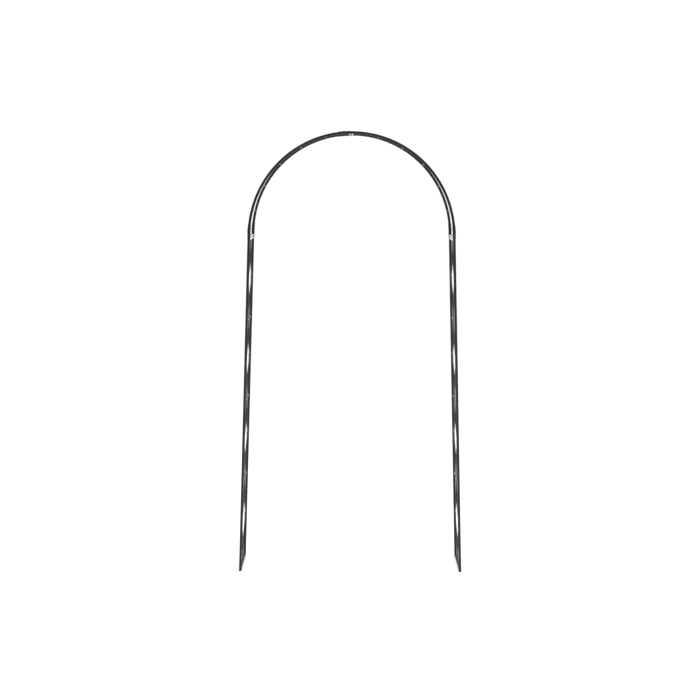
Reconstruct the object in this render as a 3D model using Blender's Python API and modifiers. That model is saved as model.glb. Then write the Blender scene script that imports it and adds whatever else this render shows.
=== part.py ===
"""Metal trellis arch: a garden arch of four ladder frames that plug together.

Two hoops of round steel tube stand one behind the other. Each side of the arch is a leg frame,
each half of the curve is an arc frame, and every frame is two tubes joined by rungs. The leg
frames also carry a pair of bent rods in each bay, which part in the middle of the bay and meet
at the rungs.

Metres, +Z up, standing on the ground at z = 0. X is the width and Y is the depth of the passage.
The origin is on the ground, in the middle of the arch.
"""
import math

import bmesh
import bpy
from mathutils import Matrix, Vector

# ---- Overall shape, measured on the tubes' centre lines ----
ARC_RADIUS = 0.5525          # half ring on top of each hoop
ARC_CENTRE_Z = 1.8415        # height of that half ring's centre
FOOT_SPREAD = 0.6045         # half the distance between the feet of one hoop
HOOP_SPACING = 0.375        # from the front hoop to the rear hoop

# ---- Stock ----
TUBE_RADIUS = 0.0075        # hoop tube, outside
TUBE_WALL = 0.0010
END_RUNG_RADIUS = 0.0070    # rung that closes the end of a frame
RUNG_RADIUS = 0.0030        # rung between the ends
ROD_RADIUS = 0.0030         # lattice rod
FIT_GAP = 0.0003            # left between pieces that touch or slide together

# ---- Joints between frames ----
JOINT_DROP = 0.030          # a leg's joint is this far below the start of the curve
CROWN_SHIFT = 0.005         # the joint at the crown sits this far to the left of the middle
SOCKET_LENGTH = 0.068       # widened tube end that goes over its neighbour
SOCKET_TAPER = 0.008        # from the widened end back to the plain tube
SPIGOT_RELIEF = 0.006       # a spigot ends this far short of the socket's taper
END_RUNG_GAP = 0.0010       # between the end rungs of two frames
SCREW_OFFSET = 0.038        # from the mouth of the socket to its screw

# ---- Rungs and lattice ----
LEG_BAY = 0.443             # between the rungs of a leg, counted down from its top end
LEG_RUNGS = 3
ARC_RUNGS = 5               # evenly spaced between an arc frame's ends
FOOT_RUNG_CLEARANCE = 0.0005    # from the foot plug's flange up to the lowest rung
ROD_BEND_RADIUS = 0.007     # centre-line radius where a rod turns back at a tube

# ---- Small pieces ----
PLUG_LIP = 0.0010           # how far a foot plug's flange stands out from the tube
PLUG_FLANGE = 0.0025
PLUG_EDGE = 0.0005          # bevel on the plug's edges
PLUG_STEM_LENGTH = 0.014
PLUG_STEM_CLEARANCE = 0.0003    # to the tube's bore, which leans while the plug stands upright
SCREW_RADIUS = 0.0020
SCREW_HEAD_RADIUS = 0.0040
SCREW_HEAD_HEIGHT = 0.0022
SCREW_CROWN_RADIUS = 0.0028     # the head's nearly flat middle
SCREW_CROWN_DROP = 0.0002
SCREW_RIM_HEIGHT = 0.0010       # straight rim of the head
SCREW_DRIVE_RADIUS = 0.0014
SCREW_DRIVE_DEPTH = 0.0012
SCREW_REACH = 0.0030        # shank inside the spigot's wall

# ---- How finely round shapes are cut ----
TUBE_BEVEL_STEPS = 4
TUBE_SIDES = 4 + 2 * TUBE_BEVEL_STEPS
ROD_BEVEL_STEPS = 2         # eight sides on a rod
ARC_STEP = math.radians(4.5)
JOINT_STEPS = 4             # along a spigot and its socket
HALF_RING_STEPS = 8         # from a rod's end to the start of the bend at the tube
BEND_STEPS = 2
RUNG_SIDES = 12
ROUND_SIDES = 16

# ---- Values that follow from the sizes above ----
SOCKET_RADIUS = TUBE_RADIUS + FIT_GAP + TUBE_WALL
SPIGOT_LENGTH = SOCKET_LENGTH - SPIGOT_RELIEF
PLUG_RADIUS = TUBE_RADIUS + PLUG_LIP
FOOT_RUNG_HEIGHT = PLUG_FLANGE + FOOT_RUNG_CLEARANCE + END_RUNG_RADIUS
END_RUNG_OFFSET = END_RUNG_RADIUS + END_RUNG_GAP / 2
MEETING_DEPTH = HOOP_SPACING / 2 - ROD_RADIUS - FIT_GAP / 2   # of a rod's ends, from its tube
BEND_DEPTH = TUBE_RADIUS + FIT_GAP + ROD_RADIUS + ROD_BEND_RADIUS
FOOT_REACH = math.hypot(FOOT_SPREAD, ARC_CENTRE_Z)
LEAN = math.acos(ARC_RADIUS / FOOT_REACH) - math.atan2(ARC_CENTRE_Z, FOOT_SPREAD)
STRAIGHT_RUN = (ARC_CENTRE_Z + ARC_RADIUS * math.sin(LEAN)) / math.cos(LEAN)
CROWN = STRAIGHT_RUN + ARC_RADIUS * (math.pi / 2 - LEAN)
LEG_JOINT = STRAIGHT_RUN - JOINT_DROP

SIDES = {"left": -1, "right": 1}
HOOPS = {"front": -1, "rear": 1}


# ---------------------------------------------------------------- scene and materials

def clear_scene():
    for item in list(bpy.data.objects):
        bpy.data.objects.remove(item, do_unlink=True)
    for collection in list(bpy.data.collections):
        bpy.data.collections.remove(collection)


def make_collection(name):
    collection = bpy.data.collections.new(name)
    bpy.context.scene.collection.children.link(collection)
    return collection


def make_material(name, colour, roughness, metallic):
    material = bpy.data.materials.new(name)
    material.use_nodes = True
    shader = material.node_tree.nodes["Principled BSDF"]
    shader.inputs["Base Color"].default_value = (*colour, 1.0)
    shader.inputs["Roughness"].default_value = roughness
    shader.inputs["Metallic"].default_value = metallic
    return material


def finish(item, material):
    """Gives a mesh object its material and smooth round faces."""
    item.data.materials.clear()
    item.data.materials.append(material)
    item.data.shade_smooth()
    item.data.set_sharp_from_angle(angle=math.radians(40))
    return item


# ---------------------------------------------------------------- the hoop's centre line

def hoop_angle(distance):
    """Lean of the hoop, from upright, at a distance along it from the foot."""
    if distance <= STRAIGHT_RUN:
        return LEAN
    return LEAN + (distance - STRAIGHT_RUN) / ARC_RADIUS


def hoop_point(side, distance, depth=0.0):
    """Point on a hoop's centre line; past the crown it runs down the other side."""
    if distance <= STRAIGHT_RUN:
        x = FOOT_SPREAD - distance * math.sin(LEAN)
        z = distance * math.cos(LEAN)
    else:
        angle = hoop_angle(distance)
        x = ARC_RADIUS * math.cos(angle)
        z = ARC_CENTRE_Z + ARC_RADIUS * math.sin(angle)
    return Vector((side * x, depth, z))


def hoop_frame(side, distance, depth=0.0):
    """Axes on the hoop: local X points out of the arch and local Z runs up the hoop."""
    angle = hoop_angle(distance)
    outward = Vector((side * math.cos(angle), 0.0, math.sin(angle)))
    along = Vector((-side * math.sin(angle), 0.0, math.cos(angle)))
    across = along.cross(outward)
    axes = Matrix((outward, across, along)).transposed().to_4x4()
    return Matrix.Translation(hoop_point(side, distance, depth)) @ axes


def hoop_depth(hoop):
    return HOOPS[hoop] * HOOP_SPACING / 2


def curve_marks():
    """Distances at which every tube is given a point, so that a spigot follows its socket."""
    joint = [SPIGOT_LENGTH * i / JOINT_STEPS for i in range(JOINT_STEPS + 1)]
    joint += [SOCKET_LENGTH, SOCKET_LENGTH + SOCKET_TAPER]
    marks = {STRAIGHT_RUN}
    marks.update(LEG_JOINT + mark for mark in joint)
    marks.update(CROWN - CROWN_SHIFT - mark for mark in joint)
    marks.update(CROWN + CROWN_SHIFT + mark for mark in joint)
    start = LEG_JOINT + joint[-1]
    run = CROWN - CROWN_SHIFT - joint[-1] - start
    steps = math.ceil(run / (ARC_RADIUS * ARC_STEP))
    marks.update(start + run * i / steps for i in range(1, steps))
    return sorted(marks)


def stations(start, end):
    """The ends of a tube and the marks between them."""
    margin = FIT_GAP
    inner = [mark for mark in curve_marks() if start + margin < mark < end - margin]
    return [start] + inner + [end]


# ---------------------------------------------------------------- modelling tools

def wire_curve(name, points, radii, bevel_steps, capped):
    """A poly curve with its own radius at each point."""
    curve = bpy.data.curves.new(name, "CURVE")
    curve.dimensions = "3D"
    curve.bevel_depth = 1.0
    curve.bevel_resolution = bevel_steps
    curve.render_resolution_u = 0
    curve.use_fill_caps = capped
    spline = curve.splines.new("POLY")
    spline.points.add(len(points) - 1)
    for target, point, radius in zip(spline.points, points, radii):
        target.co = (*point, 1.0)
        target.radius = radius
    item = bpy.data.objects.new(name, curve)
    parts.objects.link(item)
    return item


def to_mesh(item):
    """Replaces a curve object with the mesh it shows."""
    bpy.context.view_layer.update()
    shown = item.evaluated_get(bpy.context.evaluated_depsgraph_get())
    mesh = bpy.data.meshes.new_from_object(shown)
    name = item.name
    place = item.matrix_world.copy()
    old_curve = item.data
    bpy.data.objects.remove(item, do_unlink=True)
    bpy.data.curves.remove(old_curve)
    work = bmesh.new()
    work.from_mesh(mesh)
    bmesh.ops.remove_doubles(work, verts=work.verts, dist=0.00001)
    work.to_mesh(mesh)
    work.free()
    mesh.name = name
    solid = bpy.data.objects.new(name, mesh)
    solid.matrix_world = place
    parts.objects.link(solid)
    return solid


def cylinder(name, radius, length, sides, place, collection):
    """A closed cylinder centred on the local origin, along local Z."""
    mesh = bpy.data.meshes.new(name)
    work = bmesh.new()
    bmesh.ops.create_cone(work, cap_ends=True, segments=sides, radius1=radius, radius2=radius,
                          depth=length)
    work.to_mesh(mesh)
    work.free()
    item = bpy.data.objects.new(name, mesh)
    item.matrix_world = place
    collection.objects.link(item)
    return item


def make_cutter(name, radius, length, sides, place):
    item = cylinder(name, radius, length, sides, place, cutters)
    item.hide_render = True
    item.display_type = "WIRE"
    return item


def cut(item, cutter):
    modifier = item.modifiers.new("cut_" + cutter.name, "BOOLEAN")
    modifier.operation = "DIFFERENCE"
    modifier.solver = "EXACT"
    modifier.object = cutter


def turned(name, profile, place):
    """A turned solid; the profile is (radius, height) pairs from the top of its axis down."""
    mesh = bpy.data.meshes.new(name)
    edges = [(i, i + 1) for i in range(len(profile) - 1)]
    mesh.from_pydata([(radius, 0.0, height) for radius, height in profile], edges, [])
    item = bpy.data.objects.new(name, mesh)
    item.matrix_world = place
    parts.objects.link(item)
    screw = item.modifiers.new("turn", "SCREW")
    screw.axis = "Z"
    screw.steps = ROUND_SIDES
    screw.render_steps = ROUND_SIDES
    screw.use_merge_vertices = True
    screw.merge_threshold = 0.00001
    return item


# ---------------------------------------------------------------- tubes

def tube_radius_at(distance, socket_mouths):
    """Outside radius of an arc tube: wider inside a socket, tapering back to the plain tube."""
    for mouth in socket_mouths:
        inside = abs(distance - mouth) - SOCKET_LENGTH
        if inside <= 0.0:
            return SOCKET_RADIUS
        if inside < SOCKET_TAPER:
            share = inside / SOCKET_TAPER
            return SOCKET_RADIUS + (TUBE_RADIUS - SOCKET_RADIUS) * share
    return TUBE_RADIUS


def make_tube(name, side, hoop, start, end, socket_mouths=()):
    """A hollow tube that follows the hoop between two distances."""
    marks = stations(start, end)
    points = [hoop_point(side, mark, hoop_depth(hoop)) for mark in marks]
    radii = [tube_radius_at(mark, socket_mouths) for mark in marks]
    tube = to_mesh(wire_curve(name, points, radii, TUBE_BEVEL_STEPS, capped=False))
    wall = tube.modifiers.new("wall", "SOLIDIFY")
    wall.thickness = TUBE_WALL
    wall.offset = -1.0
    wall.use_even_offset = True
    return finish(tube, painted_steel)


def drill_for_screw(tube, side, hoop, distance):
    """Opens a clearance hole through the outward wall of a tube."""
    length = SOCKET_RADIUS
    frame = hoop_frame(side, distance, hoop_depth(hoop))
    place = frame @ Matrix.Translation((SOCKET_RADIUS, 0.0, 0.0)) @ TURN_OUTWARD
    cut(tube, make_cutter(tube.name + "_drill", SCREW_RADIUS + FIT_GAP, length, ROUND_SIDES, place))


# ---------------------------------------------------------------- rungs

def make_rung(name, side, distance, radius, tube_radius):
    """A rung across the frame, with its ends hollowed to sit against the two tubes."""
    centre = hoop_frame(side, distance)
    rung = cylinder(name, radius, HOOP_SPACING, RUNG_SIDES, centre @ TURN_ACROSS, parts)
    for hoop in HOOPS:
        place = hoop_frame(side, distance, hoop_depth(hoop))
        cutter_radius = (tube_radius + FIT_GAP) / math.cos(math.pi / ROUND_SIDES)
        cut(rung, make_cutter(f"{name}_{hoop}_saddle", cutter_radius, 8 * radius, ROUND_SIDES, place))
    return finish(rung, painted_steel)


# ---------------------------------------------------------------- lattice rods

def half_ring(half_bay):
    """Radius, centre depth and end angle of the half ring that fills half a bay.

    Depth is measured from the tube's centre line. The ring starts beside the other rod, at the
    rung in the middle of the panel, and is tangent to the small bend at the tube, half a bay
    away. Where the bay is too short for that, the ring ends square to the tube and stands on a
    straight leg.
    """
    run = MEETING_DEPTH - BEND_DEPTH
    if half_bay < run + ROD_BEND_RADIUS:
        radius = half_bay - ROD_BEND_RADIUS
        return radius, MEETING_DEPTH - radius, math.pi / 2
    radius = (half_bay ** 2 + run ** 2 - ROD_BEND_RADIUS ** 2) / (2 * (run + ROD_BEND_RADIUS))
    centre = MEETING_DEPTH - radius
    return radius, centre, math.atan2(half_bay, BEND_DEPTH - centre)


def half_rod(rung_mark, half_bay, direction):
    """Points from a rung to the middle of the bend at the tube, as (distance, depth) pairs."""
    radius, centre, meeting = half_ring(half_bay)
    points = []
    for i in range(HALF_RING_STEPS + 1):
        angle = meeting * i / HALF_RING_STEPS
        points.append((radius * math.sin(angle), centre + radius * math.cos(angle)))
    first_bend_step = 0 if centre > BEND_DEPTH else 1
    for i in range(first_bend_step, BEND_STEPS + 1):
        angle = meeting * (1 - i / BEND_STEPS)
        points.append((half_bay - ROD_BEND_RADIUS * math.sin(angle),
                       BEND_DEPTH - ROD_BEND_RADIUS * math.cos(angle)))
    return [(rung_mark + direction * along, depth) for along, depth in points]


def rod_outline(lower, upper):
    """One rod from rung to rung, as (distance, depth) pairs; a rung is (mark, radius).

    The ends are straight for a short way, so that they are square to the rungs.
    """
    half_bay = (upper[0] - lower[0]) / 2
    rising = half_rod(lower[0], half_bay, 1)
    falling = half_rod(upper[0], half_bay, -1)
    lower_end = lower[0] + lower[1] + FIT_GAP
    upper_end = upper[0] - upper[1] - FIT_GAP
    outline = [(lower_end, MEETING_DEPTH), (lower_end + ROD_RADIUS, MEETING_DEPTH)]
    outline += rising[1:] + falling[-2:0:-1]
    outline += [(upper_end - ROD_RADIUS, MEETING_DEPTH), (upper_end, MEETING_DEPTH)]
    return outline


def make_rod(name, side, hoop, lower, upper):
    """A rod in the plane of the tubes, from one rung to the next."""
    points = [hoop_point(side, distance, hoop_depth(hoop) - HOOPS[hoop] * depth)
              for distance, depth in rod_outline(lower, upper)]
    radii = [ROD_RADIUS] * len(points)
    rod = to_mesh(wire_curve(name, points, radii, ROD_BEVEL_STEPS, capped=True))
    return finish(rod, painted_steel)


# ---------------------------------------------------------------- small pieces

def make_foot_plug(name, side, hoop):
    top = PLUG_FLANGE + PLUG_STEM_LENGTH
    flat_of_bore = (TUBE_RADIUS - TUBE_WALL) * math.cos(math.pi / TUBE_SIDES)
    stem_radius = flat_of_bore - top * math.tan(LEAN) - PLUG_STEM_CLEARANCE
    profile = [
        (0.0, top),
        (stem_radius - PLUG_EDGE, top),
        (stem_radius, top - PLUG_EDGE),
        (stem_radius, PLUG_FLANGE),
        (PLUG_RADIUS - PLUG_EDGE, PLUG_FLANGE),
        (PLUG_RADIUS, PLUG_FLANGE - PLUG_EDGE),
        (PLUG_RADIUS, 0.0),
        (0.0, 0.0),
    ]
    place = Matrix.Translation(hoop_point(side, 0.0, hoop_depth(hoop)))
    return finish(turned(name, profile, place), black_plastic)


def make_socket_screw(name, side, hoop, distance):
    """A low round-headed screw through the outward wall of a socket and its spigot."""
    seat = SOCKET_RADIUS + FIT_GAP
    top = seat + SCREW_HEAD_HEIGHT
    tip = TUBE_RADIUS - TUBE_WALL - SCREW_REACH
    profile = [
        (0.0, top),
        (SCREW_CROWN_RADIUS, top - SCREW_CROWN_DROP),
        (SCREW_HEAD_RADIUS, seat + SCREW_RIM_HEIGHT),
        (SCREW_HEAD_RADIUS, seat),
        (SCREW_RADIUS, seat),
        (SCREW_RADIUS, tip + SCREW_RADIUS),
        (SCREW_RADIUS / 2, tip),
        (0.0, tip),
    ]
    place = hoop_frame(side, distance, hoop_depth(hoop)) @ TURN_OUTWARD
    screw = turned(name, profile, place)
    drive_place = place @ Matrix.Translation((0.0, 0.0, top))
    cut(screw, make_cutter(name + "_drive", SCREW_DRIVE_RADIUS, 2 * SCREW_DRIVE_DEPTH, 6, drive_place))
    return finish(screw, zinc)


# ---------------------------------------------------------------- frames

def leg_rungs():
    """Mark and radius of each rung of a leg, from the foot rung to the top rung."""
    top = LEG_JOINT - END_RUNG_OFFSET
    inner = [(top - LEG_BAY * (LEG_RUNGS - i), RUNG_RADIUS) for i in range(LEG_RUNGS)]
    return [(FOOT_RUNG_HEIGHT, END_RUNG_RADIUS)] + inner + [(top, END_RUNG_RADIUS)]


def arc_rung_marks():
    """Distances of an arc frame's inner rungs from the foot, lowest first."""
    bay = (CROWN - LEG_JOINT) / (ARC_RUNGS + 1)
    return [LEG_JOINT + bay * (i + 1) for i in range(ARC_RUNGS)]


def make_leg_frame(side_name):
    side = SIDES[side_name]
    prefix = side_name + "_leg_"
    tube_start = (PLUG_FLANGE + FIT_GAP + TUBE_RADIUS * math.sin(LEAN)) / math.cos(LEAN)
    rungs = leg_rungs()
    for hoop in HOOPS:
        tube = make_tube(f"{prefix}{hoop}_tube", side, hoop, tube_start, LEG_JOINT + SPIGOT_LENGTH)
        drill_for_screw(tube, side, hoop, LEG_JOINT + SCREW_OFFSET)
        for number, (lower, upper) in enumerate(zip(rungs, rungs[1:]), start=1):
            make_rod(f"{prefix}{hoop}_lattice_rod_{number}", side, hoop, lower, upper)
        make_foot_plug(f"{prefix}{hoop}_foot_plug", side, hoop)
    names = ["foot_rung"] + [f"rung_{i + 1}" for i in range(LEG_RUNGS)] + ["top_rung"]
    for name, (mark, radius) in zip(names, rungs):
        make_rung(prefix + name, side, mark, radius, TUBE_RADIUS)


def make_arc_frame(side_name):
    """The left arc frame ends in sockets at the crown and the right one goes into them."""
    side = SIDES[side_name]
    prefix = side_name + "_arc_"
    socket_at_crown = side_name == "left"
    crown_joint = CROWN - CROWN_SHIFT if socket_at_crown else CROWN + CROWN_SHIFT
    crown_end = crown_joint if socket_at_crown else crown_joint + SPIGOT_LENGTH
    mouths = (LEG_JOINT, crown_joint) if socket_at_crown else (LEG_JOINT,)
    for hoop in HOOPS:
        tube = make_tube(f"{prefix}{hoop}_tube", side, hoop, LEG_JOINT, crown_end, mouths)
        drill_for_screw(tube, side, hoop, LEG_JOINT + SCREW_OFFSET)
        screw_step = -SCREW_OFFSET if socket_at_crown else SCREW_OFFSET
        drill_for_screw(tube, side, hoop, crown_joint + screw_step)
    lower = LEG_JOINT + END_RUNG_OFFSET
    upper = crown_joint - END_RUNG_OFFSET
    crown_tube_radius = SOCKET_RADIUS if socket_at_crown else TUBE_RADIUS
    make_rung(prefix + "lower_rung", side, lower, END_RUNG_RADIUS, SOCKET_RADIUS)
    for number, mark in enumerate(arc_rung_marks(), start=1):
        make_rung(f"{prefix}rung_{number}", side, mark, RUNG_RADIUS, TUBE_RADIUS)
    make_rung(prefix + "crown_rung", side, upper, END_RUNG_RADIUS, crown_tube_radius)


def make_screws():
    for hoop in HOOPS:
        for side_name, side in SIDES.items():
            make_socket_screw(f"{side_name}_{hoop}_socket_screw", side, hoop,
                              LEG_JOINT + SCREW_OFFSET)
        make_socket_screw(f"crown_{hoop}_socket_screw", SIDES["left"], hoop,
                          CROWN - CROWN_SHIFT - SCREW_OFFSET)


TURN_OUTWARD = Matrix.Rotation(math.pi / 2, 4, "Y")
TURN_ACROSS = Matrix.Rotation(math.pi / 2, 4, "X")

clear_scene()
parts = make_collection("metal_trellis_arch")
cutters = make_collection("cutters")
painted_steel = make_material("painted_steel", (0.012, 0.012, 0.013), 0.30, 0.0)
black_plastic = make_material("black_plastic", (0.020, 0.020, 0.021), 0.50, 0.0)
zinc = make_material("zinc_plate", (0.60, 0.61, 0.62), 0.30, 1.0)

for name in SIDES:
    make_leg_frame(name)
    make_arc_frame(name)
make_screws()
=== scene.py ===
import math

import bmesh
import bpy
from mathutils import Matrix, Vector


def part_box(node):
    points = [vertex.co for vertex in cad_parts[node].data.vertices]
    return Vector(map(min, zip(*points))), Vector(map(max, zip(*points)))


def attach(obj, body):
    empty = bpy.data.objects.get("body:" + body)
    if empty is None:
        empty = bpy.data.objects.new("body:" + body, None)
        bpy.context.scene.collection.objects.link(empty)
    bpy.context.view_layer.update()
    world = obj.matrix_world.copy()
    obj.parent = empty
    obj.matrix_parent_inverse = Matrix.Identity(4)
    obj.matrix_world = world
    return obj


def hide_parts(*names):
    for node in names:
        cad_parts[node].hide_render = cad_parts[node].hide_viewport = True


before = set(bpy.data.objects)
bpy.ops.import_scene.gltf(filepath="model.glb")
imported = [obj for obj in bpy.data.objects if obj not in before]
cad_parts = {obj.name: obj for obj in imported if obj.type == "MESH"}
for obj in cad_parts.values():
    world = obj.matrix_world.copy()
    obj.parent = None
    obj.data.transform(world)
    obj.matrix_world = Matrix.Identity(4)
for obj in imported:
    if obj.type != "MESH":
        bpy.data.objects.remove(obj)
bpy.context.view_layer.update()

print("frame loaded:", len(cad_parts), "nodes")


# what the frame says about the hoop that every tube, rung and rod follows

def nodeCentre(node):
    low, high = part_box(node)
    return (low + high) / 2


stock = {                    # sizes of the bars and tubes
    "tube": 0.0075,          # outside radius of the hoop tube
    "wall": 0.0010,
    "slip": 0.0003,          # between a spigot and its socket
    "endRung": 0.0070,
    "thinRung": 0.0030,
    "rod": 0.0030,
}
stock["socket"] = stock["tube"] + stock["slip"] + stock["wall"]

socketFit = {                # lengths along the hoop
    "length": 0.068,
    "taper": 0.008,
    "spigot": 0.062,
    "screw": 0.038,          # from the mouth to the screw
}

sideSigns = {"left": -1, "right": 1}
hoopSigns = {"front": -1, "rear": 1}

foot = nodeCentre("right_leg_front_foot_plug")
crownRung = nodeCentre("right_arc_crown_rung")
firstArcRung = nodeCentre("right_arc_rung_1")
spread = foot.x
halfDepth = -foot.y
arcHeight = ((crownRung.x ** 2 + crownRung.z ** 2 - firstArcRung.x ** 2 - firstArcRung.z ** 2)
             / (2 * (crownRung.z - firstArcRung.z)))
arcRadius = math.hypot(crownRung.x, crownRung.z - arcHeight)
lean = math.acos(arcRadius / math.hypot(spread, arcHeight)) - math.atan2(arcHeight, spread)
straightRun = (arcHeight + arcRadius * math.sin(lean)) / math.cos(lean)
crown = straightRun + arcRadius * (math.pi / 2 - lean)
crownShift = -(nodeCentre("left_arc_crown_rung").x + crownRung.x) / 2      # the joint is left of the middle
crownJoint = {"left": crown - crownShift, "right": crown + crownShift}


def hoopAngle(along):
    return lean + max(0.0, along - straightRun) / arcRadius


def hoopPoint(side, along, depth=0.0):      # past the crown it runs down the other side
    if along <= straightRun:
        return Vector((side * (spread - along * math.sin(lean)), depth, along * math.cos(lean)))
    angle = hoopAngle(along)
    return Vector((side * arcRadius * math.cos(angle), depth, arcHeight + arcRadius * math.sin(angle)))


def hoopAxes(side, along, depth=0.0):       # local X out of the arch, local Z up the hoop
    angle = hoopAngle(along)
    outward = Vector((side * math.cos(angle), 0.0, math.sin(angle)))
    upward = Vector((-side * math.sin(angle), 0.0, math.cos(angle)))
    turn = Matrix((outward, upward.cross(outward), upward)).transposed().to_4x4()
    return Matrix.Translation(hoopPoint(side, along, depth)) @ turn


def alongHoop(point):                       # how far up the hoop a point in its middle plane is
    if point.z < straightRun * math.cos(lean):
        return point.z / math.cos(lean)
    return straightRun + (math.atan2(point.z - arcHeight, abs(point.x)) - lean) * arcRadius


legRungs = ["foot_rung", "rung_1", "rung_2", "rung_3", "top_rung"]
arcRungs = ["lower_rung", "rung_1", "rung_2", "rung_3", "rung_4", "rung_5", "crown_rung"]
legMarks = [alongHoop(nodeCentre("right_leg_" + rung)) for rung in legRungs]
arcMarks = {side: [alongHoop(nodeCentre(f"{side}_arc_{rung}")) for rung in arcRungs] for side in sideSigns}
legJoint = (legMarks[-1] + arcMarks["right"][0]) / 2
print("hoop: radius", round(arcRadius, 4), "centre height", round(arcHeight, 4),
      "joint at", round(legJoint, 4))


# shader groups that the finishes share

def newGroup(name, inputs, outputs):
    group = bpy.data.node_groups.new(name, "ShaderNodeTree")
    for socketName, kind, value in inputs:
        socket = group.interface.new_socket(socketName, in_out="INPUT", socket_type=kind)
        socket.default_value = value
    for socketName, kind in outputs:
        group.interface.new_socket(socketName, in_out="OUTPUT", socket_type=kind)
    return group, group.nodes.new("NodeGroupInput"), group.nodes.new("NodeGroupOutput")


def mathNode(tree, operation, first, second=None):
    node = tree.nodes.new("ShaderNodeMath")
    node.operation = operation
    for socket, value in zip(node.inputs, (first, second)):
        if value is None:
            continue
        if isinstance(value, (int, float)):
            socket.default_value = value
        else:
            tree.links.new(value, socket)
    return node.outputs[0]


def noiseNode(tree, coords, scale, detail=2.0, roughness=0.5):
    node = tree.nodes.new("ShaderNodeTexNoise")
    tree.links.new(coords, node.inputs["Vector"])
    if isinstance(scale, (int, float)):
        node.inputs["Scale"].default_value = scale
    else:
        tree.links.new(scale, node.inputs["Scale"])
    node.inputs["Detail"].default_value = detail
    node.inputs["Roughness"].default_value = roughness
    return node.outputs["Fac"]


def rangeNode(tree, value, fromLow, fromHigh, toLow, toHigh):
    node = tree.nodes.new("ShaderNodeMapRange")
    tree.links.new(value, node.inputs["Value"])
    for socketName, setting in (("From Min", fromLow), ("From Max", fromHigh),
                                ("To Min", toLow), ("To Max", toHigh)):
        if isinstance(setting, (int, float)):
            node.inputs[socketName].default_value = setting
        else:
            tree.links.new(setting, node.inputs[socketName])
    return node.outputs["Result"]


def makeCoatSkin():                         # the slightly pebbled skin of a baked powder coat
    tree, given, out = newGroup(
        "coatSkin",
        [("Pebble Scale", "NodeSocketFloat", 900.0), ("Rough Low", "NodeSocketFloat", 0.25),
         ("Rough High", "NodeSocketFloat", 0.40)],
        [("Roughness", "NodeSocketFloat"), ("Height", "NodeSocketFloat")])
    coords = tree.nodes.new("ShaderNodeTexCoord").outputs["Object"]
    pebble = noiseNode(tree, coords, given.outputs["Pebble Scale"], 3.0, 0.55)
    flow = noiseNode(tree, coords, 160.0, 2.0, 0.5)
    cloud = noiseNode(tree, coords, 14.0, 3.0, 0.6)
    height = mathNode(tree, "ADD", pebble, mathNode(tree, "MULTIPLY", flow, 0.8))
    mixed = mathNode(tree, "ADD", mathNode(tree, "MULTIPLY", cloud, 0.7),
                     mathNode(tree, "MULTIPLY", pebble, 0.3))
    rough = rangeNode(tree, mixed, 0.32, 0.68, given.outputs["Rough Low"], given.outputs["Rough High"])
    tree.links.new(rough, out.inputs["Roughness"])
    tree.links.new(height, out.inputs["Height"])
    return tree


def makeSettledDust():                      # pale dust on faces that look up, thicker near the ground
    tree, given, out = newGroup(
        "settledDust",
        [("Amount", "NodeSocketFloat", 0.3), ("Splash Height", "NodeSocketFloat", 0.18)],
        [("Mask", "NodeSocketFloat")])
    texture = tree.nodes.new("ShaderNodeTexCoord")
    coords = texture.outputs["Object"]
    geometry = tree.nodes.new("ShaderNodeNewGeometry")
    normalParts = tree.nodes.new("ShaderNodeSeparateXYZ")
    tree.links.new(geometry.outputs["Normal"], normalParts.inputs[0])
    placeParts = tree.nodes.new("ShaderNodeSeparateXYZ")
    tree.links.new(coords, placeParts.inputs[0])
    facingUp = rangeNode(tree, normalParts.outputs["Z"], 0.35, 1.0, 0.0, 1.0)
    nearGround = rangeNode(tree, placeParts.outputs["Z"], 0.0, given.outputs["Splash Height"], 1.0, 0.0)
    speckle = rangeNode(tree, noiseNode(tree, coords, 260.0, 4.0, 0.65), 0.45, 0.75, 0.0, 1.0)
    patches = rangeNode(tree, noiseNode(tree, coords, 9.0, 2.0, 0.5), 0.35, 0.70, 0.3, 1.0)
    splash = mathNode(tree, "MULTIPLY", nearGround, speckle)
    film = mathNode(tree, "MULTIPLY", mathNode(tree, "MULTIPLY", facingUp, patches), 0.6)
    both = mathNode(tree, "MAXIMUM", splash, film)
    mask = mathNode(tree, "MULTIPLY", both, given.outputs["Amount"])
    tree.links.new(mask, out.inputs["Mask"])
    return tree


def makeFineScratches():                    # short hairlines from handling
    tree, given, out = newGroup(
        "fineScratches",
        [("Density", "NodeSocketFloat", 0.5)],
        [("Mask", "NodeSocketFloat")])
    texture = tree.nodes.new("ShaderNodeTexCoord")
    stretch = tree.nodes.new("ShaderNodeMapping")
    stretch.inputs["Rotation"].default_value = (0.4, 0.7, 0.2)
    stretch.inputs["Scale"].default_value = (18.0, 420.0, 420.0)
    tree.links.new(texture.outputs["Object"], stretch.inputs["Vector"])
    lines = noiseNode(tree, stretch.outputs["Vector"], 1.0, 1.0, 0.4)
    patches = noiseNode(tree, texture.outputs["Object"], 22.0, 2.0, 0.5)
    thin = rangeNode(tree, lines, 0.66, 0.72, 0.0, 1.0)
    where = rangeNode(tree, patches, 0.52, 0.62, 0.0, 1.0)
    mask = mathNode(tree, "MULTIPLY", mathNode(tree, "MULTIPLY", thin, where), given.outputs["Density"])
    tree.links.new(mask, out.inputs["Mask"])
    return tree


coatSkin = makeCoatSkin()
settledDust = makeSettledDust()
fineScratches = makeFineScratches()


def groupNode(tree, group, **settings):
    node = tree.nodes.new("ShaderNodeGroup")
    node.node_tree = group
    for socketName, value in settings.items():
        node.inputs[socketName.replace("_", " ")].default_value = value
    return node


def colourMix(tree, fac, first, second):
    node = tree.nodes.new("ShaderNodeMix")
    node.data_type = "RGBA"
    tree.links.new(fac, node.inputs["Factor"])
    for socket, value in ((node.inputs[6], first), (node.inputs[7], second)):
        if isinstance(value, tuple):
            socket.default_value = (*value, 1.0)
        else:
            tree.links.new(value, socket)
    return node.outputs[2]


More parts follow.
